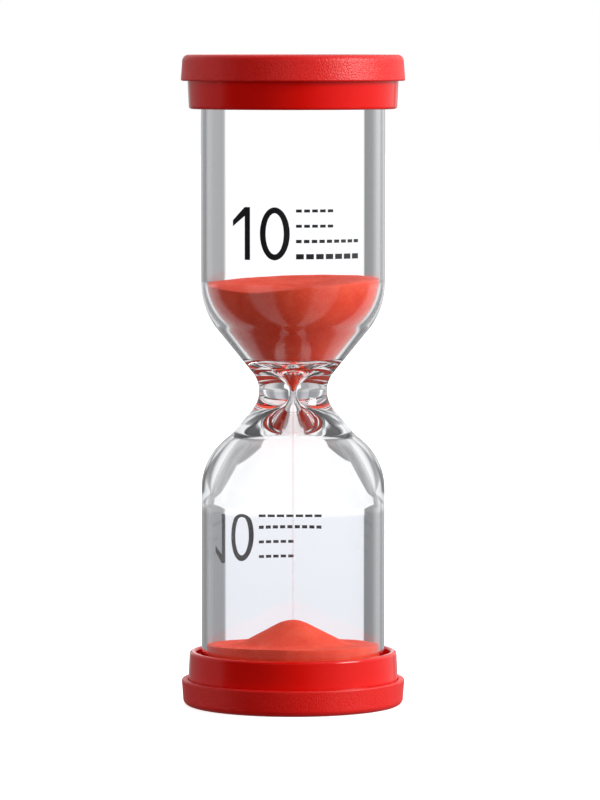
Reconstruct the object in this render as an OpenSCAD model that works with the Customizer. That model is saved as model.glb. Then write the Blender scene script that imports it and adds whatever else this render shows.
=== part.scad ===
// Ten-minute sand timer: one blown glass with two bulbs, coloured sand, and a two-piece plastic
// end at the top and the bottom. Millimetres, +Z up, origin at the centre of the standing face.
// The front, which the upper print faces, is -Y.

/* [Overall] */
// Height over both end covers
total_h = 100; // [85:0.5:120]
// Height of the middle of the neck above the middle of the timer, below it when negative
neck_shift = -1.55; // [-4:0.05:4]

/* [Glass] */
// Outer diameter of the straight tube
glass_d = 28.2; // [23:0.1:34]
// Wall of the straight tube
glass_wall = 0.75; // [0.5:0.05:1]
// Thickness of the two closed ends
glass_end_t = 1.2; // [0.8:0.1:1.6]
// Radius of the rounded edge of a closed end
glass_end_round = 1.5; // [1:0.1:2]
// Outer diameter of the neck at its narrowest
neck_d = 10.5; // [8.7:0.1:12.6]
// Radius of the hollow of the waist
waist_round = 4.5; // [3:0.1:5.5]
// Diameter of the orifice that meters the sand
orifice_d = 0.7; // [0.5:0.05:1.2]
// Length of the straight part of the orifice
orifice_l = 1.8; // [1:0.1:2.4]
// Diameter of the hole in the top end that the sand is filled through
fill_d = 5; // [4:0.1:7]

/* [Upper bulb] */
// Slope of the cone above the neck, in degrees from the axis
cone_angle = 39; // [34:1:46]
// Wall of the cone
cone_wall = 1.2; // [0.9:0.05:1.5]
// Outer radius of the shoulder
upper_shoulder_round = 11.7; // [8:0.1:14]
// Slope of the floor of the bulb round the funnel, in degrees from the axis
bowl_angle = 80; // [76:1:84]
// Height of the funnel's mouth above the middle of the neck
upper_funnel_h = 4.2; // [3.6:0.1:4.6]
// Diameter of the funnel's mouth
upper_funnel_d = 4; // [3.2:0.1:4.8]

/* [Lower bulb] */
// Slope of the dome below the neck, in degrees from the axis
dome_angle = 52.5; // [49:0.5:58]
// Diameter at which the dome's slope, carried on upwards, meets the middle of the neck
dome_root_d = 1.4; // [0.5:0.1:2.5]
// Wall of the dome at the shoulder
dome_wall = 1.2; // [0.9:0.05:1.5]
// Outer radius of the shoulder
lower_shoulder_round = 15; // [8:0.5:18]
// Depth of the narrow funnel's mouth below the middle of the neck
lower_funnel_h = 3.2; // [2.6:0.1:3.9]
// Diameter of the narrow funnel's mouth
lower_funnel_d = 2; // [1.6:0.1:3]

/* [Sand] */
// Height of the upper sand at the glass, above the middle of the neck
upper_sand_h = 16.6; // [13.5:0.1:22]
// Depth of the crater in the upper sand
crater_depth = 1.2; // [0.4:0.1:2.5]
// Depth of the lower sand at the glass
lower_sand_h = 4.3; // [3.5:0.1:9]
// Height of the pile above the lower sand, before its tip is rounded
pile_h = 5; // [3:0.1:6]
// Angle of repose of the pile, in degrees from level
repose_angle = 30; // [26:1:34]
// Radius of the rounded tip of the pile
pile_round = 4.8; // [1:0.1:5]
// Diameter of the falling stream
stream_d = 0.5; // [0.3:0.05:0.6]
// Air left between the sand and the glass
sand_gap = 0.06; // [0.04:0.01:0.1]

/* [Collars] */
// Air between the glass and the bore of a collar
collar_gap = 0.85; // [0.5:0.05:1.3]
// Wall of a collar at its open rim
collar_wall = 1; // [0.8:0.05:1.4]
// Height of a collar's open rim above the closed face of its cover
collar_rim_h = 8.3; // [7:0.1:11]
// Thickness of the floor of a collar
collar_floor = 1; // [0.8:0.1:1.5]
// How much wider the foot of a collar is than its rim, per side
collar_draft = 0.2; // [0.1:0.05:0.3]

/* [Covers] */
// Height of the skirt of a cover
cover_h = 4; // [3.3:0.1:5]
// Wall of the skirt at its open rim
cover_wall = 1; // [0.9:0.05:1.4]
// Thickness of the closed face of a cover
cover_floor = 1.2; // [1:0.1:1.5]
// How much narrower the closed face is than the rim, per side
cover_draft = 0.3; // [0.1:0.05:0.4]
// Radius of the rounded edge of the closed face
cover_round = 1; // [0.6:0.1:1.2]
// Width of the flat ring that the timer stands on
standing_ring_w = 2.6; // [2:0.1:4]
// Depth of the panel inside the standing ring
panel_depth = 0.3; // [0.2:0.05:0.4]
// Height of the snap bead on the inside of the skirt
bead_h = 0.7; // [0.5:0.05:0.85]
// How far the snap bead stands out
bead_out = 0.2; // [0.15:0.05:0.25]
// Air between a cover and its collar
cover_fit = 0.05; // [0.03:0.01:0.1]

/* [Glue pads and stopper] */
// How far a glue pad ends inside the flat of the glass's end
glue_margin = 0.4; // [0.2:0.1:2]
// Diameter of the stopper's head
stopper_head_d = 8; // [7.2:0.1:10]
// Thickness of the stopper's head
stopper_head_t = 0.8; // [0.6:0.05:1]
// Length of the stopper below its head
stopper_l = 3; // [2:0.1:4]
// Air round and above the stopper's head
head_gap = 0.3; // [0.2:0.05:0.6]
// Air drawn round the stopper's shank, which is a squeeze fit
shank_gap = 0.02; // [0.01:0.01:0.05]

/* [Print] */
// Height of the digits
digit_h = 8; // [6.5:0.1:9.6]
// Width of the strokes of the digits
digit_stroke = 0.9; // [0.7:0.05:1.1]
// Thickness of the ink
ink_t = 0.05; // [0.03:0.01:0.08]
// Height of the upper print's middle above the middle of the neck
upper_print_h = 24.6; // [22:0.1:30]
// Depth of the lower print's middle below the middle of the neck
lower_print_h = 23.4; // [20:0.1:28]
// Turn of the lower print to the left of straight behind the timer, in degrees
lower_print_turn = 25; // [0:1:90]

/* [Hidden] */
$fn = 96;

ARC_STEPS = 14;         // straight steps in a rounded corner
MOST_OF_SIDE = 0.8;     // share of a side that one rounded corner may take up
NOUGHT_STEPS = 12;      // straight steps in a quarter of the nought

cover_red = [0.78, 0.09, 0.07];
collar_red = [0.82, 0.06, 0.04];
sand_red = [0.90, 0.34, 0.25];
glue_cream = [0.93, 0.90, 0.80];
ink_black = [0.10, 0.09, 0.10];

glass_r = glass_d / 2;
bore_r = glass_r - glass_wall;
neck_r = neck_d / 2;
orifice_r = orifice_d / 2;
neck_z = total_h / 2 + neck_shift;

// Stack under the glass, the same at both ends: cover, collar, glue.
glue_t = stopper_head_t + head_gap;
collar_z = cover_floor;
glue_z = collar_z + collar_floor;
glass_z = glue_z + glue_t;
glass_top = total_h - glass_z;
glass_floor_z = glass_z + glass_end_t;
glass_ceiling_z = glass_top - glass_end_t;

// Where the straight flanks of the waist would meet, inside the rounded neck.
waist_r = neck_r - waist_round * (1 / cos(cone_angle) - 1);

// Distances from the middle of the neck to the corners of the upper bulb, before they are rounded.
cone_root_r = waist_r - cone_wall / cos(cone_angle);
upper_outer_h = (glass_r - waist_r) / tan(cone_angle);
upper_inner_h = (bore_r - cone_root_r) / tan(cone_angle);
bowl_h = (cone_root_r - upper_funnel_d / 2 + upper_funnel_h * tan(bowl_angle))
    / (tan(bowl_angle) - tan(cone_angle));
bowl_r = cone_root_r + bowl_h * tan(cone_angle);

// The same for the lower bulb, where the neck flares into the dome at a corner of its own.
lower_outer_h = (glass_r - dome_root_d / 2) / tan(dome_angle);
lower_inner_h = (bore_r - dome_root_d / 2 + dome_wall / cos(dome_angle)) / tan(dome_angle);
flare_h = (waist_r - dome_root_d / 2) / (tan(dome_angle) - tan(cone_angle));
flare_r = waist_r + flare_h * tan(cone_angle);

collar_bore_r = glass_r + collar_gap;
collar_rim_r = collar_bore_r + collar_wall;
collar_foot_r = collar_rim_r + collar_draft;
cover_bore_r = collar_foot_r + cover_fit;
cover_rim_r = cover_bore_r + cover_wall;
cover_face_r = cover_rim_r - cover_draft;
bead_z = cover_h - 1.3 * bead_h;
groove_half_h = bead_h / 2 + cover_fit;

// The upper print, laid out flat: distances along the glass from the middle of the front.
one_u = -7.2;           // middle of the upright of the one
flag_drop = 2.5;        // how far the tip of the one's flag lies below its top
flag_reach = 2.2;       // and to the left of its upright
nought_u = -2.8;        // middle of the nought
nought_w = 4.6;
lines_u = 0.45;         // where the dashed lines start
line_pitch = 2.3;
dash_gap = 0.35;
DASHED_LINES = [        // length, number of dashes and thickness of each line, from the top
    [5.8, 5, 0.45],
    [5.8, 5, 0.45],
    [10.4, 9, 0.5],
    [10.4, 7, 0.8]
];

function point(corner) = [corner[0], corner[1]];

function unit(v) = v / norm(v);

// The arc that rounds corner b between a and c. Its radius shrinks where a side is short.
function round_corner(a, b, c, radius) =
    let (
        to_a = unit(a - b),
        to_c = unit(c - b),
        half = acos(to_a * to_c) / 2,
        side = MOST_OF_SIDE * min(norm(a - b), norm(c - b)),
        r = min(radius, side * tan(half)),
        centre = b + unit(to_a + to_c) * r / sin(half),
        first = b + to_a * r / tan(half) - centre,
        last = b + to_c * r / tan(half) - centre,
        turn = 180 - 2 * half
    )
    [for (i = [0 : ARC_STEPS])
        let (t = i / ARC_STEPS)
        centre + (first * sin(turn * (1 - t)) + last * sin(turn * t)) / sin(turn)];

// A path through corners [radius, height, rounding]. A corner with no rounding stays sharp.
function rounded_path(corners) =
    [for (i = [0 : len(corners) - 1])
        each len(corners[i]) < 3
            ? [point(corners[i])]
            : round_corner(
                point(corners[i - 1]), point(corners[i]), point(corners[i + 1]), corners[i][2])];

function backwards(path) = [for (i = [len(path) - 1 : -1 : 0]) path[i]];

// Outside of the glass, from the bottom to the fill hole.
glass_outside = rounded_path([
    [0, glass_z],
    [glass_r, glass_z, glass_end_round],
    [glass_r, neck_z - lower_outer_h, lower_shoulder_round],
    [flare_r, neck_z - flare_h, waist_round],
    [waist_r, neck_z, waist_round],
    [glass_r, neck_z + upper_outer_h, upper_shoulder_round],
    [glass_r, glass_top, glass_end_round],
    [fill_d / 2, glass_top]
]);

// Inside of the lower bulb, from its floor up to the orifice.
lower_inside = rounded_path([
    [0, glass_floor_z],
    [bore_r, glass_floor_z, glass_end_round],
    [bore_r, neck_z - lower_inner_h, lower_shoulder_round - dome_wall],
    [lower_funnel_d / 2, neck_z - lower_funnel_h, upper_funnel_d],
    [orifice_r, neck_z - orifice_l / 2, upper_funnel_d],
    [orifice_r, neck_z]
]);

// Inside of the upper bulb, from the orifice up to the fill hole.
upper_inside = rounded_path([
    [orifice_r, neck_z],
    [orifice_r, neck_z + orifice_l / 2, upper_funnel_d],
    [upper_funnel_d / 2, neck_z + upper_funnel_h, upper_funnel_d],
    [bowl_r, neck_z + bowl_h, upper_funnel_d / 2],
    [bore_r, neck_z + upper_inner_h, upper_shoulder_round - cone_wall],
    [bore_r, glass_ceiling_z, glass_end_round],
    [fill_d / 2, glass_ceiling_z]
]);

module glass_body() {
    inside = concat(lower_inside, [for (i = [1 : len(upper_inside) - 1]) upper_inside[i]]);
    color([0.86, 0.91, 0.93, 0.35])
        rotate_extrude()
            polygon(concat(glass_outside, backwards(inside)));
}

// Radius of the space for sand at a height, and its side between two heights.
function sand_r(inside, z) = lookup(z, [for (p = inside) [p[1], p[0]]]) - sand_gap;

function sand_side(inside, low, high) =
    concat(
        [[sand_r(inside, low), low]],
        [for (p = inside) if (p[1] > low + 0.01 && p[1] < high - 0.01) [p[0] - sand_gap, p[1]]],
        [[sand_r(inside, high), high]]
    );

// Sand above the orifice, with a crater over it. It fills the orifice down to the stream.
module upper_sand() {
    level = neck_z + upper_sand_h;
    edge_r = sand_r(upper_inside, level);
    color(sand_red)
        rotate_extrude()
            polygon(concat(
                [[0, neck_z]],
                sand_side(upper_inside, neck_z, level),
                rounded_path([
                    [edge_r * 0.8, level],
                    [edge_r * 0.45, level - crater_depth * 0.55, edge_r],
                    [0, level - crater_depth]
                ])
            ));
}

// Sand on the floor of the lower bulb, with the pile that the stream builds in the middle.
lower_level = glass_floor_z + sand_gap + lower_sand_h;
pile_tip_z = lower_level + pile_h - pile_round * (1 / cos(repose_angle) - 1);

module lower_sand() {
    foot = [pile_h / tan(repose_angle), lower_level];
    tip_centre = [0, pile_tip_z - pile_round];
    tip_arc = [for (i = [0 : ARC_STEPS])
        let (a = repose_angle * (1 - i / ARC_STEPS))
        tip_centre + [sin(a), cos(a)] * pile_round];
    color(sand_red)
        rotate_extrude()
            polygon(concat(
                [[0, glass_floor_z + sand_gap]],
                sand_side(lower_inside, glass_floor_z + sand_gap, lower_level),
                round_corner([bore_r, lower_level], foot, tip_arc[0], pile_round),
                tip_arc
            ));
}

module sand_stream() {
    color(sand_red)
        translate([0, 0, pile_tip_z])
            cylinder(d = stream_d, h = neck_z - pile_tip_z);
}

// Stopper in the fill hole, with its head outside and a tapered lead-in.
module fill_stopper() {
    shank_r = fill_d / 2 - shank_gap;
    lead_r = shank_r - stopper_l / 6;
    color([0.93, 0.92, 0.88])
        rotate_extrude()
            polygon(rounded_path([
                [0, glass_top - stopper_l],
                [lead_r, glass_top - stopper_l, 0.3],
                [shank_r, glass_ceiling_z],
                [shank_r, glass_top],
                [stopper_head_d / 2, glass_top],
                [stopper_head_d / 2, glass_top + stopper_head_t, 0.3],
                [0, glass_top + stopper_head_t]
            ]));
}

// The pieces of an end are drawn for the bottom, with the cover standing on z = 0.
module end_cover() {
    ring_in_r = cover_face_r - cover_round - standing_ring_w;
    color(cover_red)
        rotate_extrude()
            polygon(rounded_path([
                [0, panel_depth],
                [ring_in_r - panel_depth, panel_depth],
                [ring_in_r, 0],
                [cover_face_r, 0, cover_round],
                [cover_rim_r, cover_h, cover_wall / 4],
                [cover_bore_r, cover_h, cover_wall / 6],
                [cover_bore_r, bead_z + bead_h / 2],
                [cover_bore_r - bead_out, bead_z],
                [cover_bore_r, bead_z - bead_h / 2],
                [cover_bore_r, cover_floor],
                [0, cover_floor]
            ]));
}

// Cup that the glass stands in, with a groove for the cover's snap bead.
module end_collar() {
    color(collar_red)
        rotate_extrude()
            polygon(rounded_path([
                [0, collar_z],
                [collar_foot_r, collar_z, 0.3],
                [collar_foot_r, bead_z - groove_half_h],
                [collar_foot_r - bead_out, bead_z],
                [collar_foot_r, bead_z + groove_half_h],
                [collar_foot_r, cover_h],
                [collar_rim_r, collar_rim_h, collar_wall * 0.45],
                [collar_bore_r, collar_rim_h, collar_wall * 0.35],
                [collar_bore_r, glue_z, 0.3],
                [0, glue_z]
            ]));
}

module glue_pad(hole_d) {
    color(glue_cream)
        translate([0, 0, glue_z])
            difference() {
                cylinder(r = glass_r - glass_end_round - glue_margin, h = glue_t);
                if (hole_d > 0)
                    translate([0, 0, -1])
                        cylinder(d = hole_d, h = glue_t + 2);
            }
}

module at_top() {
    translate([0, 0, total_h])
        rotate([180, 0, 0])
            children();
}

// Ink on the tube for a flat shape whose middle lies u along the glass.
module ink(u) {
    intersection() {
        difference() {
            cylinder(r = glass_r + ink_t, h = 2 * digit_h, center = true);
            cylinder(r = glass_r, h = 2 * digit_h + 2, center = true);
        }
        rotate([90, 0, u / glass_r * 180 / PI])
            linear_extrude(height = 2 * glass_r)
                children();
    }
}

// A level stroke of ink that starts u along the glass and lies v above the middle of the print.
module dash(u, v, length, thickness) {
    degrees = 180 / PI / glass_r;
    rotate([0, 0, u * degrees - 90])
        rotate_extrude(angle = length * degrees)
            translate([glass_r, v - thickness / 2])
                square([ink_t, thickness]);
}

module one() {
    top = digit_h / 2;
    half = digit_stroke / 2;
    polygon([
        [half, -top],
        [half, top],
        [-half, top],
        [-half - flag_reach, top - flag_drop + half],
        [-half - flag_reach, top - flag_drop - half],
        [-half, top - 1.5 * digit_stroke],
        [-half, -top]
    ]);
}

// Outline of a nought of the given width and height, as an ellipse.
function nought_outline(w, h) =
    [for (i = [0 : 4 * NOUGHT_STEPS - 1])
        let (a = 90 * i / NOUGHT_STEPS)
        [w / 2 * cos(a), h / 2 * sin(a)]];

module nought() {
    difference() {
        polygon(nought_outline(nought_w, digit_h));
        polygon(nought_outline(nought_w - 2 * digit_stroke, digit_h - 2 * digit_stroke));
    }
}

// The number of minutes with four dashed lines beside it, on the front, with its middle at z = 0.
module front_print() {
    color(ink_black) {
        ink(one_u) one();
        ink(nought_u) nought();
        for (i = [0 : len(DASHED_LINES) - 1]) {
            line = DASHED_LINES[i];
            pitch = (line[0] + dash_gap) / line[1];
            for (k = [0 : line[1] - 1])
                dash(lines_u + k * pitch, (1.5 - i) * line_pitch, pitch - dash_gap, line[2]);
        }
    }
}

module upper_print() {
    translate([0, 0, neck_z + upper_print_h])
        front_print();
}

// Upside down at the back, so that it reads from the front when the timer is turned over.
module lower_print() {
    translate([0, 0, neck_z - lower_print_h])
        rotate([180, 0, lower_print_turn])
            front_print();
}

end_cover();  // bottom_cover
end_collar();  // bottom_collar
glue_pad(0);  // bottom_glue_pad
glass_body();
lower_sand();
sand_stream();
upper_sand();
fill_stopper();
at_top() glue_pad(stopper_head_d + 2 * head_gap);  // top_glue_pad
at_top() end_collar();  // top_collar
at_top() end_cover();  // top_cover
upper_print();
lower_print();
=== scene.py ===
import math

import bpy
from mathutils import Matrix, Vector, noise

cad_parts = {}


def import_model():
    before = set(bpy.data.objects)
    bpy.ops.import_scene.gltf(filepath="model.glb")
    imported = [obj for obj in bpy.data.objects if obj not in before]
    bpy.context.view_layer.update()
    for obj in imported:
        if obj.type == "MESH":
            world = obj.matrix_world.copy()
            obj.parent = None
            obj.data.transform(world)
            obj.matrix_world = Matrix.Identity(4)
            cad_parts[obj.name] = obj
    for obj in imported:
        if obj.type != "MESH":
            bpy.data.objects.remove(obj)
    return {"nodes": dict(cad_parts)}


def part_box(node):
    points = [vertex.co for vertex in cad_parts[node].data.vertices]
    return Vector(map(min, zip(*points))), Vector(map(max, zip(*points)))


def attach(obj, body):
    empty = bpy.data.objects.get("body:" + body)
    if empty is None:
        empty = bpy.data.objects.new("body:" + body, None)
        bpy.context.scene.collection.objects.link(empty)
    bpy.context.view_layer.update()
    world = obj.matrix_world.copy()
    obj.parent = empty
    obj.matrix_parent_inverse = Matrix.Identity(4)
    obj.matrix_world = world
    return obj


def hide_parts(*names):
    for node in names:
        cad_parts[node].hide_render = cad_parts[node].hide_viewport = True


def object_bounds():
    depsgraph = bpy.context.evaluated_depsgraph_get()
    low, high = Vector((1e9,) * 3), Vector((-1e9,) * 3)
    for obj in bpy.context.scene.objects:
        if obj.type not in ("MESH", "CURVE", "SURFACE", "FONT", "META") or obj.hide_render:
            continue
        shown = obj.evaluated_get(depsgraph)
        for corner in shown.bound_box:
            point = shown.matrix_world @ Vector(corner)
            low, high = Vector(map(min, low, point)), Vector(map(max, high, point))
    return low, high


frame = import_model()
CAD_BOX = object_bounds()

MM = 0.001
HEIGHT = CAD_BOX[1].z - CAD_BOX[0].z
BODY = "root"

# Lathe
SEGMENTS = 160              # steps round a turned piece
SAME_RING = 3e-6            # CAD points closer than this in radius and height are one ring
TRUE_CORNER = 12            # degrees of turn above which a corner of an outline is sharp
LEAST_BEND = 0.5            # degrees of turn above which a stretch of an outline is rounded
SMOOTH_STEPS = 3            # new steps in each CAD step of a rounded stretch

# Sand
GRAIN = 0.16 * MM
SAND_ROUND = 220            # steps round a heap
SAND_ACROSS = 90            # steps from the edge of a heap to its middle
SIDE_STEPS = 60             # steps up the side of a heap
EDGE_TRIES = 4              # rounds of finding where a heap's top meets the glass
ROUGHNESS = 0.11 * MM       # height of the soft unevenness of a heap
UNEVEN = ((0.7, 4.5 * MM), (0.3, 1.6 * MM), (0.12, 0.6 * MM))   # its waves: strength and size
UPPER_LIFT = 0.2 * MM       # of the upper sand above its CAD level
RISE_BACK = 0.028           # slope of the upper sand up to the back
RISE_RIGHT = 0.030          # and up to the right
UPPER_HUMPS = ((10, -9, 6, 0.3), (-6, -11, 7, -0.65))           # x, y, width and height in mm
PILE_WIDTH = 7              # in mm, where the lower sand's pile gives way to its bed
BED_LIFT = 0.45 * MM        # of the bed above its CAD level
BED_FALL = 0.042            # slope of the bed down to the back
PILE_SINK = 0.1 * MM        # of the pile's tip below its CAD level

# Falling stream
STREAM_ROUND = 10           # steps round the stream
STREAM_STEPS = 160          # steps along it
STREAM_FOOT = 0.15 * MM     # its radius at the bottom
STREAM_GAIN = 0.04 * MM     # how much larger that is at the top
STREAM_PINCH = 0.45         # share of its radius by which it swells and narrows
STREAM_PINCHES = 2.4        # how many times faster that goes than its wandering
STREAM_BEAD = 2.2 * MM      # length over which it wanders
STREAM_SWAY = 0.03 * MM     # how far it wanders

# Camera, floor and lights
LENS = 237                  # focal length and sensor width, in mm
SENSOR = 36
CAMERA = Vector((0, -0.808, 0.1017))
AIM = Vector((0.00107, 0, 0.047))
FLOOR_HALF = 4              # half the side of the floor
FLOOR_DROP = 0.02 * MM      # air between the timer and the floor
FLOOR_GLOW = 0.8            # keeps the floor white to the edge of the picture
SOFTBOXES = (               # name, azimuth, elevation, distance, width, height, power, in gloss
    ("key_softbox", 70, 25, 0.7, 0.30, 0.30, 3.7, True),
    ("low_softbox", 66, -18, 0.7, 0.40, 0.25, 1.3, False),
    ("back_softbox", 170, 35, 0.9, 0.6, 0.6, 4.2, False),
    ("front_softbox", -5, 20, 0.9, 0.6, 0.6, 2.2, False),
    ("left_softbox", -95, -4, 0.8, 0.5, 0.5, 1.7, False),
)

# What rays meet round the timer: brightness at each angle from straight behind it, left negative.
# FLAGS is met straight through the glass, and repeats every quarter turn.
QUARTER = 90
HALF = QUARTER / 2
FLAGS = [
    (-45, 1.0), (-41, 1.0), (-40, 0.45), (-33, 0.35), (-20, 0.32), (-18.5, 0.56), (-13, 0.53),
    (-10, 0.45), (-8.8, 0.345), (-4.6, 0.345), (-4.35, 1.0),
    (5.0, 1.0), (5.25, 0.215), (8, 0.215), (9.3, 0.29), (11.3, 0.45), (14.5, 0.62), (22.5, 0.60),
    (25, 0.37), (32, 0.33), (33, 0.42), (40, 0.45), (41, 1.0), (45, 1.0)
]
FLAGS_OPEN = (0, 7)         # elevations between which the flags spread apart
FLAGS_SHARE = 0.5           # an angle counts for this share of itself at the upper one
GLASS_GAIN = 1.2            # makes up for what the four faces of the glass reflect away
BACKDROP = (-7, -2)         # elevations between which the backdrop goes from bluish to white
BACKDROP_FADE = (
    (0.19, (0.807, 0.822, 0.856, 1)), (0.42, (0.85, 0.865, 0.90, 1)),
    (0.58, (0.93, 0.94, 0.95, 1)), (0.72, (1, 1, 1, 1)))
# STUDIO is met by reflections from outside and by scattered light.
STUDIO = [
    (-180, 0.03), (-97, 0.03), (-95, 0.26), (-80, 0.32), (-60, 0.42), (-33, 0.42), (-20.5, 0.45),
    (-19, 0.88), (-12.5, 0.82), (-10, 0.52), (-8.8, 0.36), (-4.6, 0.345), (-4.35, 1.0),
    (5.0, 1.0), (5.25, 0.2), (8, 0.21), (9.3, 0.3), (11.3, 0.55), (14.5, 0.88), (22.5, 0.9),
    (26, 0.5), (31, 0.45), (33, 1.0), (70, 0.83), (114, 0.6), (150, 0.25), (170, 0.04), (180, 0.03)
]
HORIZON = (-12, 4)          # elevations between which the studio goes from dim to full
FLOOR_BOUNCE = 0.25         # brightness below the horizon, as a share
INSIDE_LIGHT = 0.3          # least brightness met by rays that were mirrored inside the glass
STEEP = (7.5, 11)           # elevations, up or down, between which STEEP_LIGHT takes over for them
STEEP_LIGHT = [
    (-36, 1.0), (-30, 0.9), (-23, 0.12), (-12, 0.06), (12, 0.06), (23, 0.12), (30, 0.9), (36, 1.0)
]
TRAPPED = 2.5               # mirrored more often than this, a ray leaves the glass straight on


def turn(degrees):
    return math.radians(degrees)


# ---------------------------------------------------------------------------------------------
# Outlines of turned pieces, taken from the frame


def rings_of(mesh):
    """Rings of a turned CAD mesh as {key: (radius, height)}, with the key of every vertex."""
    rings, keys = {}, []
    for v in mesh.vertices:
        radius, height = math.hypot(v.co.x, v.co.y), v.co.z
        key = next(
            (k for k in nearby(radius, height) if k in rings),
            (round(radius / SAME_RING), round(height / SAME_RING)),
        )
        rings.setdefault(key, (radius, height))
        keys.append(key)
    return rings, keys


def nearby(radius, height):
    r, h = round(radius / SAME_RING), round(height / SAME_RING)
    return [(r + i, h + j) for i in (0, -1, 1) for j in (0, -1, 1)]


def outline(node):
    """(radius, height) points of a turned CAD node, walked from the axis back to the axis."""
    mesh = frame["nodes"][node].data
    rings, keys = rings_of(mesh)
    joined = {key: set() for key in rings}
    for edge in mesh.edges:
        a, b = (keys[i] for i in edge.vertices)
        if a != b:
            joined[a].add(b)
            joined[b].add(a)
    ends = [key for key in rings if len(joined[key]) == 1]
    here = min(ends, key=lambda key: rings[key][1])
    path, seen = [here], {here}
    while True:
        onward = [key for key in joined[here] if key not in seen]
        if not onward:
            break
        here = min(onward, key=lambda key: abs(len(joined[key]) - 2))
        path.append(here)
        seen.add(here)
    points = [Vector(rings[key]) for key in path]
    for end in (0, -1):
        if points[end].x > SAME_RING:
            points.insert(0 if end == 0 else len(points), Vector((0, points[end].y)))
    return points


def tangents(points):
    """Directions into and out of each point of an outline. They differ only at true corners."""
    pairs = []
    for i, here in enumerate(points):
        before = (here - points[i - 1]).normalized() if i else None
        after = (points[i + 1] - here).normalized() if i + 1 < len(points) else None
        if before is None or after is None:
            pairs.append((before or after, after or before))
        elif before.angle(after) > turn(TRUE_CORNER):
            pairs.append((before, after))
        else:
            both = (points[i + 1] - points[i - 1]).normalized()
            pairs.append((both, both))
    return pairs


def smoothed(points):
    """Stretches (point, direction, next point, next direction), with rounded ones cut finer."""
    ways = tangents(points)
    stretches = []
    for i in range(len(points) - 1):
        a, b, way_a, way_b = points[i], points[i + 1], ways[i][1], ways[i + 1][0]
        chord = (b - a).normalized()
        bent = max(chord.angle(way_a), chord.angle(way_b)) > turn(LEAST_BEND)
        steps = SMOOTH_STEPS if bent else 1
        spots = [hermite(a, way_a, b, way_b, k / steps) for k in range(steps + 1)]
        stretches += [(*spots[k], *spots[k + 1]) for k in range(steps)]
    return stretches


def hermite(a, way_a, b, way_b, t):
    """Point and direction at t on the cubic from a to b."""
    length = (b - a).length
    u, v = way_a * length, way_b * length
    point = (
        a * (2 * t**3 - 3 * t**2 + 1) + u * (t**3 - 2 * t**2 + t)
        + b * (3 * t**2 - 2 * t**3) + v * (t**3 - t**2)
    )
    way = (
        a * (6 * t**2 - 6 * t) + u * (3 * t**2 - 4 * t + 1)
        + b * (6 * t - 6 * t**2) + v * (3 * t**2 - 2 * t)
    )
    return point, way.normalized()


# ---------------------------------------------------------------------------------------------
# Mesh building


def new_piece(name, verts, faces, material, replaced):
    mesh = bpy.data.meshes.new(name)
    mesh.from_pydata([tuple(v) for v in verts], [], faces)
    mesh.validate()
    for polygon in mesh.polygons:
        polygon.use_smooth = True
    mesh.materials.append(material)
    piece = bpy.data.objects.new(name, mesh)
    bpy.context.scene.collection.objects.link(piece)
    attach(piece, BODY)
    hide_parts(replaced)
    return piece


def spun(radius, height, azimuth):
    return Vector((radius * math.cos(azimuth), radius * math.sin(azimuth), height))


def steps_round(count):
    return [2 * math.pi * k / count for k in range(count)]


def lathe(name, node, material):
    """A turned piece with exact normals, smooth round the axis and sharp at true corners."""
    stretches = smoothed(outline(node))
    azimuths = steps_round(SEGMENTS)
    verts, rings = [], []
    points = [stretches[0][0]] + [s[2] for s in stretches]
    for point in points:
        if point.x < SAME_RING:
            rings.append([len(verts)] * SEGMENTS)
            verts.append(Vector((0, 0, point.y)))
        else:
            rings.append([len(verts) + k for k in range(SEGMENTS)])
            verts += [spun(point.x, point.y, a) for a in azimuths]
    faces, normals = [], []
    for i, (_, way_a, _, way_b) in enumerate(stretches):
        low, high = rings[i], rings[i + 1]
        for k in range(SEGMENTS):
            m = (k + 1) % SEGMENTS
            corners = [(low, k, way_a), (low, m, way_a), (high, m, way_b), (high, k, way_b)]
            face, turned = [], []
            for ring, step, way in corners:
                if ring[step] not in face:
                    face.append(ring[step])
                    turned.append(spun(way.y, -way.x, azimuths[step]))
            faces.append(face)
            normals += turned
    piece = new_piece(name, verts, faces, material, node)
    piece.data.normals_split_custom_set([tuple(n) for n in normals])


def side_radius(points):
    """Radius of a heap's side at a height, from the outline of its CAD node."""
    widest = max(range(len(points)), key=lambda i: (points[i].x, points[i].y))
    side = points[: widest + 1]

    def radius(height):
        if height >= side[-1].y:
            return side[-1].x
        for a, b in zip(side, side[1:]):
            if a.y <= height <= b.y and b.y > a.y:
                return a.x + (b.x - a.x) * (height - a.y) / (b.y - a.y)
        return side[0].x

    return radius


def top_height(points):
    """Height of a heap's top at a radius, from the outline of its CAD node."""
    widest = max(range(len(points)), key=lambda i: (points[i].x, points[i].y))
    top = points[widest:]

    def height(radius):
        for a, b in zip(top, top[1:]):
            if b.x <= radius <= a.x and a.x > b.x:
                return a.y + (b.y - a.y) * (radius - a.x) / (b.x - a.x)
        return top[0].y if radius > top[0].x else top[-1].y

    return height


def uneven(x, y, seed):
    """Soft unevenness of poured sand, about 1 at most. Each seed gives another one."""
    spot = Vector((x, y, seed * 0.01))
    return sum(strength * noise.noise(spot / size) for strength, size in UNEVEN)


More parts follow.
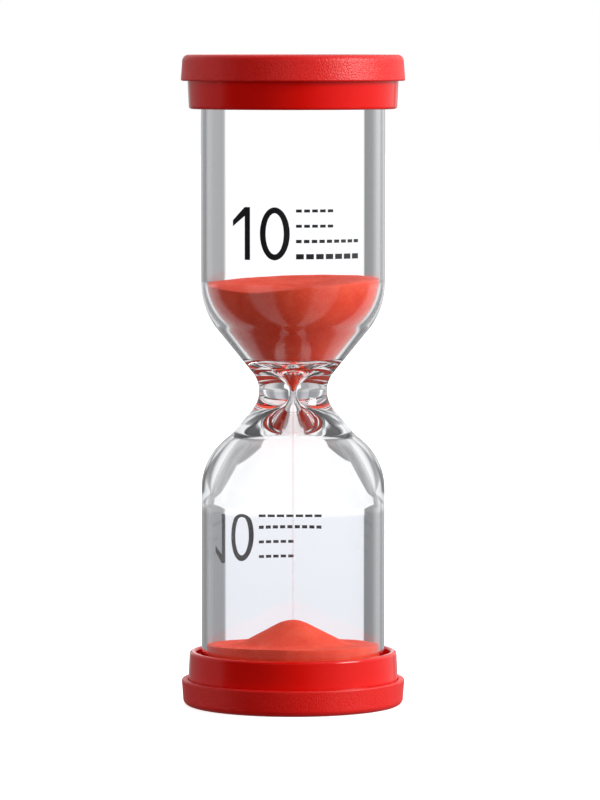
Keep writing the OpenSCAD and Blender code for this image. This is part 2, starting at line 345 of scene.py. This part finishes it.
def heap(name, node, material, relief):
    """A body of sand: the side lies against the glass, and relief(x, y) is added to the top."""
    points = outline(node)
    radius_at, height_at = side_radius(points), top_height(points)
    foot = points[0].y
    azimuths = steps_round(SAND_ROUND)

    def surface(radius, azimuth):
        return height_at(radius) + relief(radius * math.cos(azimuth), radius * math.sin(azimuth))

    widest = max(point.x for point in points)
    edges = []
    for a in azimuths:
        radius = widest
        for _ in range(EDGE_TRIES):
            radius = radius_at(surface(radius, a))
        edges.append(radius)
    verts = [Vector((0, 0, foot))]
    for i in range(1, SIDE_STEPS + 1):
        for edge, a in zip(edges, azimuths):
            height = foot + (surface(edge, a) - foot) * i / SIDE_STEPS
            verts.append(spun(edge if i == SIDE_STEPS else radius_at(height), height, a))
    for i in range(1, SAND_ACROSS):
        for k, a in enumerate(azimuths):
            radius = edges[k] * (1 - i / SAND_ACROSS)
            verts.append(spun(radius, surface(radius, a), a))
    verts.append(Vector((0, 0, surface(0, 0))))
    new_piece(name, verts, polar_faces(len(verts), SAND_ROUND), material, node)


def polar_faces(count, around):
    """Faces for a first point, rings of points and a last point."""
    rings = (count - 2) // around
    faces = [(0, 1 + (k + 1) % around, 1 + k) for k in range(around)]
    for i in range(rings - 1):
        low, high = 1 + i * around, 1 + (i + 1) * around
        for k in range(around):
            m = (k + 1) % around
            faces.append((low + k, low + m, high + m, high + k))
    last = 1 + (rings - 1) * around
    faces += [(last + k, last + (k + 1) % around, count - 1) for k in range(around)]
    return faces


# ---------------------------------------------------------------------------------------------
# Materials


class Graph:
    """Short way to add shader nodes and join them."""

    def __init__(self, tree):
        self.tree = tree
        self.tree.nodes.clear()

    def add(self, kind, inputs=None, **settings):
        made = self.tree.nodes.new("ShaderNode" + kind)
        for key, value in settings.items():
            setattr(made, key, value)
        for key, value in (inputs or {}).items():
            if isinstance(value, bpy.types.NodeSocket):
                self.tree.links.new(value, made.inputs[key])
            else:
                made.inputs[key].default_value = value
        return made

    def math(self, operation, a, b=0.0):
        return self.add("Math", {0: a, 1: b}, operation=operation).outputs[0]

    def mix(self, how, factor, a, b):
        made = self.add("Mix", data_type="RGBA", blend_type=how)
        for socket, value in ((made.inputs[0], factor), (made.inputs[6], a), (made.inputs[7], b)):
            if isinstance(value, bpy.types.NodeSocket):
                self.tree.links.new(value, socket)
            else:
                socket.default_value = value
        return made.outputs[2]

    def blend(self, factor, a, b):
        return self.mix("MIX", factor, a, b)

    def multiply(self, a, b):
        return self.mix("MULTIPLY", 1.0, a, b)

    def lighten(self, a, b):
        return self.mix("LIGHTEN", 1.0, a, b)

    def rescale(self, value, low, high, new_low=0.0, new_high=1.0):
        """Moves a value from the range low to high into a new range, and keeps it there."""
        inputs = {
            "Value": value, "From Min": low, "From Max": high, "To Min": new_low, "To Max": new_high}
        return self.add("MapRange", inputs).outputs[0]

    def noise(self, size, detail=2.0, roughness=0.5):
        """Noise whose bumps are about size metres across."""
        place = self.add("TexCoord").outputs["Object"]
        inputs = {"Vector": place, "Scale": 1 / size, "Detail": detail, "Roughness": roughness}
        return self.add("TexNoise", inputs).outputs["Fac"]

    def ramp(self, factor, *stops):
        made = self.add("ValToRGB", {"Fac": factor})
        elements = made.color_ramp.elements
        while len(elements) < len(stops):
            elements.new(1)
        for element, (position, colour) in zip(elements, stops):
            element.position, element.color = position, colour
        return made.outputs["Color"]

    def bump(self, height, depth, strength=1.0):
        inputs = {"Height": height, "Distance": depth, "Strength": strength}
        return self.add("Bump", inputs).outputs["Normal"]


def rgb(red, green, blue):
    """A colour given in the usual 0 to 255 display numbers, as linear light."""
    def linear(c):
        c /= 255
        return c / 12.92 if c <= 0.04045 else ((c + 0.055) / 1.055) ** 2.4
    return (linear(red), linear(green), linear(blue), 1)


def material(name):
    made = bpy.data.materials.new(name)
    made.use_nodes = True
    return made, Graph(made.node_tree)


def output(graph, shader):
    graph.add("OutputMaterial", {"Surface": shader})


def cover_plastic():
    """Matte moulding with the fine grain of a spark-eroded mould."""
    made, g = material("cover_matte_red")
    grain = g.noise(0.24 * MM, detail=3)
    cloud = g.noise(6 * MM)
    colour = g.blend(cloud, rgb(224, 22, 17), rgb(231, 28, 22))
    rough = g.rescale(grain, 0, 1, 0.30, 0.42)
    shader = g.add("BsdfPrincipled", {
        "Base Color": colour, "Roughness": rough, "Specular IOR Level": 0.5,
        "Normal": g.bump(grain, 0.075 * MM, 1.0)})
    output(g, shader.outputs[0])
    return made


def collar_plastic():
    """Glossy moulding with a faint flow ripple."""
    made, g = material("collar_gloss_red")
    ripple = g.noise(5 * MM)
    colour = g.blend(ripple, rgb(222, 14, 7), rgb(228, 19, 11))
    rough = g.rescale(g.noise(1.2 * MM), 0, 1, 0.1, 0.15)
    shader = g.add("BsdfPrincipled", {
        "Base Color": colour, "Roughness": rough, "Specular IOR Level": 0.5,
        "Normal": g.bump(ripple, 0.05 * MM, 0.25)})
    output(g, shader.outputs[0])
    return made


def clear_glass():
    """Clear glass. Shadow rays, scattered light and trapped rays go straight through it."""
    made, g = material("clear_glass")
    haze = g.noise(9 * MM)
    rough = g.rescale(haze, 0.55, 1, 0, 0.012)
    shader = g.add("BsdfGlass", {
        "Color": (0.992, 0.994, 0.996, 1), "Roughness": rough, "IOR": 1.5})
    clear = g.add("BsdfTransparent", {"Color": (0.97, 0.97, 0.975, 1)})
    path = g.add("LightPath")
    scattered = g.math("MAXIMUM", path.outputs["Is Shadow Ray"], path.outputs["Is Diffuse Ray"])
    trapped = g.math("GREATER_THAN", path.outputs["Glossy Depth"], TRAPPED)
    through = g.math("MAXIMUM", scattered, trapped)
    mixed = g.add("MixShader", {0: through, 1: shader.outputs[0], 2: clear.outputs[0]})
    output(g, mixed.outputs[0])
    return made


def dyed_sand():
    """Dyed grains: each one has a shade and a gloss of its own."""
    made, g = material("dyed_sand")
    place = g.add("TexCoord").outputs["Object"]
    grains = g.add("TexVoronoi", {"Vector": place, "Scale": 1 / GRAIN})
    shade = g.add("SeparateColor", {"Color": grains.outputs["Color"]})
    drift = g.noise(3.5 * MM, detail=3)
    own = g.math("MULTIPLY", shade.outputs[0], 0.25)
    mixed = g.math("ADD", own, g.math("MULTIPLY", drift, 0.75))
    colour = g.ramp(
        mixed, (0.15, rgb(230, 58, 38)), (0.5, rgb(244, 78, 52)), (0.85, rgb(252, 104, 76)))
    rough = g.rescale(shade.outputs[1], 0, 1, 0.45, 0.95)
    height = g.math("SUBTRACT", 1.0, grains.outputs["Distance"])
    shader = g.add("BsdfPrincipled", {
        "Base Color": colour, "Roughness": rough, "Specular IOR Level": 0.15,
        "Normal": g.bump(height, GRAIN * 0.5, 0.3)})
    output(g, shader.outputs[0])
    return made


def falling_sand():
    """The thread of falling grains, mostly air."""
    made, g = material("falling_sand")
    colour = g.blend(g.noise(0.4 * MM), rgb(226, 158, 150), rgb(244, 208, 202))
    shader = g.add("BsdfPrincipled", {"Base Color": colour, "Roughness": 0.8, "Alpha": 0.10})
    output(g, shader.outputs[0])
    return made


def printed_ink():
    """Screen-printed ink with a slightly uneven, satin face."""
    made, g = material("printed_ink")
    uneven_ink = g.noise(0.5 * MM, detail=3)
    colour = g.blend(uneven_ink, rgb(24, 22, 24), rgb(40, 37, 40))
    rough = g.rescale(uneven_ink, 0, 1, 0.42, 0.6)
    shader = g.add("BsdfPrincipled", {
        "Base Color": colour, "Roughness": rough,
        "Normal": g.bump(uneven_ink, 0.01 * MM, 0.4)})
    output(g, shader.outputs[0])
    return made


def set_glue():
    """Cured adhesive, cloudy and a little uneven."""
    made, g = material("set_glue")
    cloud = g.noise(2.5 * MM, detail=3)
    colour = g.blend(cloud, rgb(226, 214, 182), rgb(244, 238, 218))
    shader = g.add("BsdfPrincipled", {
        "Base Color": colour, "Roughness": 0.4, "Normal": g.bump(cloud, 0.1 * MM, 0.3)})
    output(g, shader.outputs[0])
    return made


def stopper_plastic():
    """Soft white plastic of the filling stopper."""
    made, g = material("stopper_white")
    cloud = g.noise(1.5 * MM)
    colour = g.blend(cloud, rgb(232, 230, 220), rgb(244, 243, 238))
    shader = g.add("BsdfPrincipled", {
        "Base Color": colour, "Roughness": 0.5, "Normal": g.bump(cloud, 0.04 * MM, 0.3)})
    output(g, shader.outputs[0])
    return made


# ---------------------------------------------------------------------------------------------
# Pieces


def dress(node, made):
    """Gives a CAD node that stays a material of its own."""
    slots = frame["nodes"][node].data.materials
    slots.clear()
    slots.append(made)


def swell(x, y, centre_x, centre_y, width):
    """A soft hump, 1 high at its centre. Its place and width are in millimetres."""
    distance = math.hypot(x / MM - centre_x, y / MM - centre_y)
    return math.exp(-(distance / width) ** 2)


def upper_relief(x, y):
    """The upper sand slopes, and has slumped towards the front left."""
    slump = sum(height * swell(x, y, *place) for *place, height in UPPER_HUMPS)
    slope = UPPER_LIFT + RISE_BACK * y + RISE_RIGHT * x
    return slope + slump * MM + ROUGHNESS * uneven(x, y, 1)


def lower_relief(x, y):
    """The bed round the pile is a little higher in front."""
    pile = swell(x, y, 0, 0, PILE_WIDTH)
    bed = (1 - pile) * (BED_LIFT - BED_FALL * y)
    return bed - PILE_SINK * pile + ROUGHNESS * uneven(x, y, 7)


def make_stream(made):
    """A thread of grains that thins a little as it speeds up."""
    low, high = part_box("sand_stream")
    verts = [Vector((0, 0, low.z))]
    for i in range(STREAM_STEPS + 1):
        share = i / STREAM_STEPS
        height = low.z + (high.z - low.z) * share
        wander = Vector((0, 0, height / STREAM_BEAD))
        pinch = 1 + STREAM_PINCH * noise.noise(wander * STREAM_PINCHES)
        radius = (STREAM_FOOT + STREAM_GAIN * share) * pinch
        sway = STREAM_SWAY * noise.noise(wander + Vector((5, 0, 0)))
        verts += [Vector((sway, 0, 0)) + spun(radius, height, a) for a in steps_round(STREAM_ROUND)]
    verts.append(Vector((0, 0, high.z)))
    faces = polar_faces(len(verts), STREAM_ROUND)
    new_piece("falling_sand", verts, faces, made, "sand_stream")


def make_object():
    lathe("glass_bulbs", "glass_body", clear_glass())
    cover, collar = cover_plastic(), collar_plastic()
    for end in ("bottom", "top"):
        lathe(end + "_cover_shell", end + "_cover", cover)
        lathe(end + "_collar_cup", end + "_collar", collar)
    sand = dyed_sand()
    heap("upper_sand_heap", "upper_sand", sand, upper_relief)
    heap("lower_sand_heap", "lower_sand", sand, lower_relief)
    make_stream(falling_sand())
    ink = printed_ink()
    dress("upper_print", ink)
    dress("lower_print", ink)
    glue = set_glue()
    dress("bottom_glue_pad", glue)
    dress("top_glue_pad", glue)
    dress("fill_stopper", stopper_plastic())


# ---------------------------------------------------------------------------------------------
# Studio


def camera():
    data = bpy.data.cameras.new("camera")
    data.lens = LENS
    data.sensor_width = SENSOR
    made = bpy.data.objects.new("camera", data)
    bpy.context.scene.collection.objects.link(made)
    made.location = CAMERA
    made.rotation_mode = "QUATERNION"
    made.rotation_quaternion = (AIM - CAMERA).to_track_quat("-Z", "Y")
    bpy.context.scene.camera = made


def softbox(name, azimuth, elevation, distance, width, height, power, in_gloss):
    """A soft light aimed at the timer. Azimuth is from the front, positive to the right."""
    data = bpy.data.lights.new(name, "AREA")
    data.shape = "RECTANGLE"
    data.size, data.size_y, data.energy = width, height, power
    made = bpy.data.objects.new(name, data)
    bpy.context.scene.collection.objects.link(made)
    a, e = turn(azimuth), turn(elevation)
    out = Vector((math.sin(a) * math.cos(e), -math.cos(a) * math.cos(e), math.sin(e)))
    made.location = Vector((0, 0, HEIGHT / 2)) + out * distance
    made.rotation_mode = "QUATERNION"
    made.rotation_quaternion = (-out).to_track_quat("-Z", "Y")
    made.visible_glossy = in_gloss
    made.visible_transmission = False


def floor():
    """Plain white sweep under the timer."""
    mesh = bpy.data.meshes.new("floor")
    sides = ((-1, -1), (1, -1), (1, 1), (-1, 1))
    corners = [(x * FLOOR_HALF, y * FLOOR_HALF, -FLOOR_DROP) for x, y in sides]
    mesh.from_pydata(corners, [], [(0, 1, 2, 3)])
    made, g = material("floor_white")
    paper = g.noise(0.05)
    colour = g.blend(paper, (0.86, 0.86, 0.86, 1), (0.88, 0.88, 0.88, 1))
    matte = g.add("BsdfDiffuse", {"Color": colour})
    lift = g.add("Emission", {"Color": (1, 1, 1, 1), "Strength": FLOOR_GLOW})
    output(g, g.add("AddShader", {0: matte.outputs[0], 1: lift.outputs[0]}).outputs[0])
    mesh.materials.append(made)
    piece = bpy.data.objects.new("floor", mesh)
    bpy.context.scene.collection.objects.link(piece)
    piece.visible_transmission = False
    piece.visible_glossy = False
    piece.visible_diffuse = False
    piece.visible_shadow = False


def grey(value):
    """A grey with a trace of blue."""
    return (value, value, value * 1.015, 1)


def stops(levels, span):
    """Stops of a ramp over span degrees whose middle is 0 degrees."""
    return [(angle / span + 0.5, grey(value)) for angle, value in levels]


def seen_through(g, quarter, elevation):
    """What is met straight through the glass: a backdrop between flags."""
    share = g.rescale(elevation, *FLAGS_OPEN, 1.0, FLAGS_SHARE)
    opened = g.math("MULTIPLY", quarter, share)
    flags = g.ramp(g.rescale(opened, -HALF, HALF), *stops(FLAGS, QUARTER))
    backdrop = g.ramp(g.rescale(elevation, *BACKDROP), *BACKDROP_FADE)
    return g.multiply(g.multiply(flags, backdrop), (GLASS_GAIN, GLASS_GAIN, GLASS_GAIN, 1))


def studio_light(g, azimuth, elevation):
    """Bright straight behind and on the right, dim on the left, in front and towards the floor."""
    rise = g.rescale(elevation, *HORIZON, FLOOR_BOUNCE, 1.0)
    level = g.add("CombineColor", {0: rise, 1: rise, 2: rise}).outputs[0]
    return g.multiply(g.ramp(g.rescale(azimuth, -180, 180), *stops(STUDIO, 360)), level)


def mirrored_light(g, studio, quarter, elevation):
    """What is met by rays that were mirrored inside the glass."""
    steep = g.rescale(g.math("ABSOLUTE", elevation), *STEEP)
    across = g.ramp(g.rescale(quarter, -HALF, HALF), *stops(STEEP_LIGHT, QUARTER))
    return g.blend(steep, g.lighten(studio, grey(INSIDE_LIGHT)), across)


def world():
    """White to the eye, with flags beside the timer that draw the dark edges of the glass."""
    made = bpy.data.worlds.new("studio")
    made.use_nodes = True
    bpy.context.scene.world = made
    g = Graph(made.node_tree)
    way = g.add("SeparateXYZ", {0: g.add("TexCoord").outputs["Generated"]})
    azimuth = g.math("DEGREES", g.math("ARCTAN2", way.outputs["X"], way.outputs["Y"]))
    elevation = g.math("DEGREES", g.math("ARCSINE", way.outputs["Z"]))
    positive = g.math("ADD", azimuth, 4 * QUARTER + HALF)
    quarter = g.math("SUBTRACT", g.math("MODULO", positive, QUARTER), HALF)

    path = g.add("LightPath")
    unmirrored = g.math("LESS_THAN", path.outputs["Glossy Depth"], 0.5)
    entered = g.math("GREATER_THAN", path.outputs["Transmission Depth"], 0.5)
    viewed = g.math("MAXIMUM", g.math("SUBTRACT", entered, path.outputs["Is Diffuse Ray"]), 0.0)
    studio = studio_light(g, azimuth, elevation)
    mirrored = mirrored_light(g, studio, quarter, elevation)
    in_glass = g.blend(unmirrored, mirrored, seen_through(g, quarter, elevation))
    unseen = g.blend(viewed, studio, in_glass)
    colour = g.blend(path.outputs["Is Camera Ray"], unseen, (1, 1, 1, 1))
    back = g.add("Background", {"Color": colour, "Strength": 1.0})
    g.add("OutputWorld", {"Surface": back.outputs[0]})


def lights():
    for box in SOFTBOXES:
        softbox(*box)


camera()
make_object()
floor()
world()
lights()
bpy.context.scene.view_settings.view_transform = "Standard"
